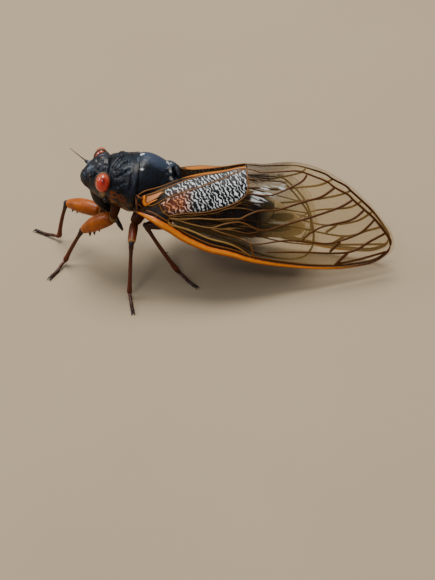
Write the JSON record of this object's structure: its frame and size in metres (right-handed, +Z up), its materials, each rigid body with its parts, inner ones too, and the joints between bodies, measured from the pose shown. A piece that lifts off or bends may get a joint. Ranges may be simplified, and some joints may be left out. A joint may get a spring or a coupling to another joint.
{
  "type": "cicada",
  "caption": "Still, life-size model of a black cicada with red eyes, at rest on its legs with its clear, veined wings folded over its back.",
  "frame": {"origin": "on the floor, in the middle of the model's box", "axes": "+X towards the wing tips, -X towards the head, -Y towards the animal's left side, +Z up"},
  "size_m": [0.05, 0.0258, 0.0168],
  "materials": {
    "cuticle": "satin, finely grooved",
    "eye": "gloss",
    "feeler": "satin",
    "orange_leg": "satin",
    "dark_leg": "satin",
    "wing": "clear amber with orange veins"
  },
  "bodies": {
    "root": {"abdomen": "cuticle", "antenna_left": "feeler", "antenna_right": "feeler", "eye_left": "eye", "eye_right": "eye", "fore_femur_left": "orange_leg", "fore_femur_right": "orange_leg", "fore_tarsus_left": "dark_leg", "fore_tarsus_right": "dark_leg", "fore_tibia_left": "dark_leg", "fore_tibia_right": "dark_leg", "forewing_left": "wing", "forewing_right": "wing", "head": "cuticle", "hind_femur_left": "orange_leg", "hind_femur_right": "orange_leg", "hind_tarsus_left": "dark_leg", "hind_tarsus_right": "dark_leg", "hind_tibia_left": "dark_leg", "hind_tibia_right": "dark_leg", "hindwing_left": "wing", "hindwing_right": "wing", "mesothorax": "cuticle", "mid_femur_left": "orange_leg", "mid_femur_right": "orange_leg", "mid_tarsus_left": "dark_leg", "mid_tarsus_right": "dark_leg", "mid_tibia_left": "dark_leg", "mid_tibia_right": "dark_leg", "prothorax": "cuticle", "rostrum": "dark_leg"}
  },
  "joints": []
}
